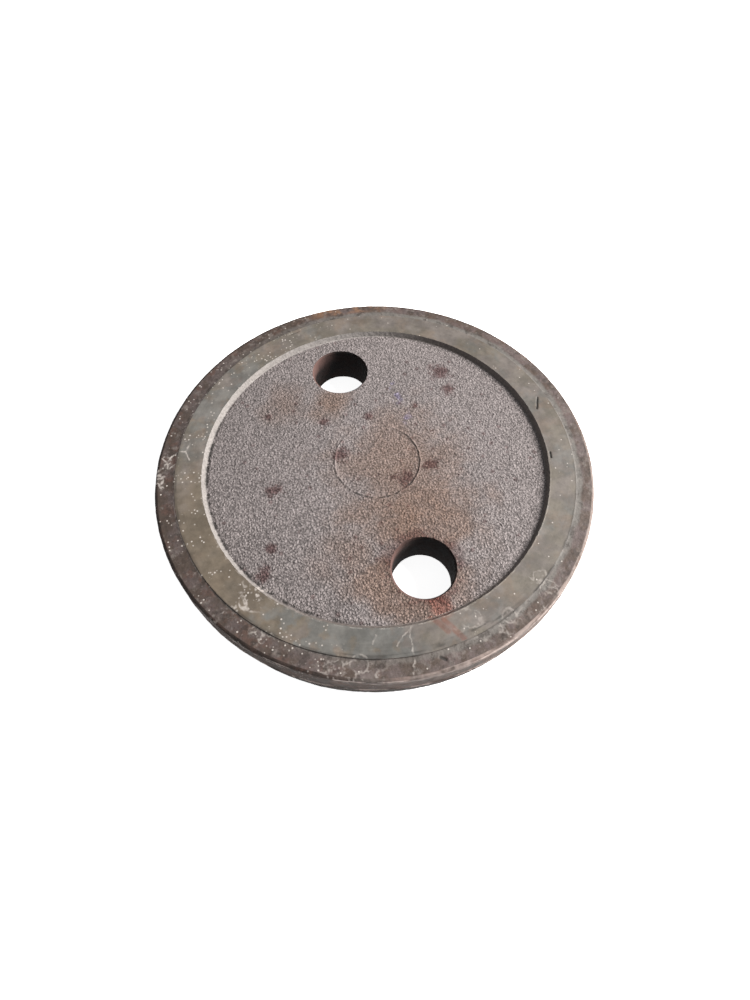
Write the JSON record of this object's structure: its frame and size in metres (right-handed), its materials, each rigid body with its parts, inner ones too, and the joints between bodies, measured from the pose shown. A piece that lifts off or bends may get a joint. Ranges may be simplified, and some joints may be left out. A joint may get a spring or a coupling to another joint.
{
  "type": "blind flange",
  "caption": "Round cast-iron blind flange with a raised facing ring, a shallow recess with a cast floor, and bolt holes on one diameter.",
  "frame": {"origin": "on the disc's axis, at the centre of the flat back face", "axes": "+Z along the disc's axis, out of the working face; the two bolt holes stand on the Y axis; X completes a right-handed frame"},
  "size_m": [0.165, 0.165, 0.018],
  "materials": {
    "casting": "raw casting with light rust on the recess floor, faced seat, weathered border and rim"
  },
  "bodies": {
    "root": {"flange_casting": "casting"}
  },
  "joints": []
}
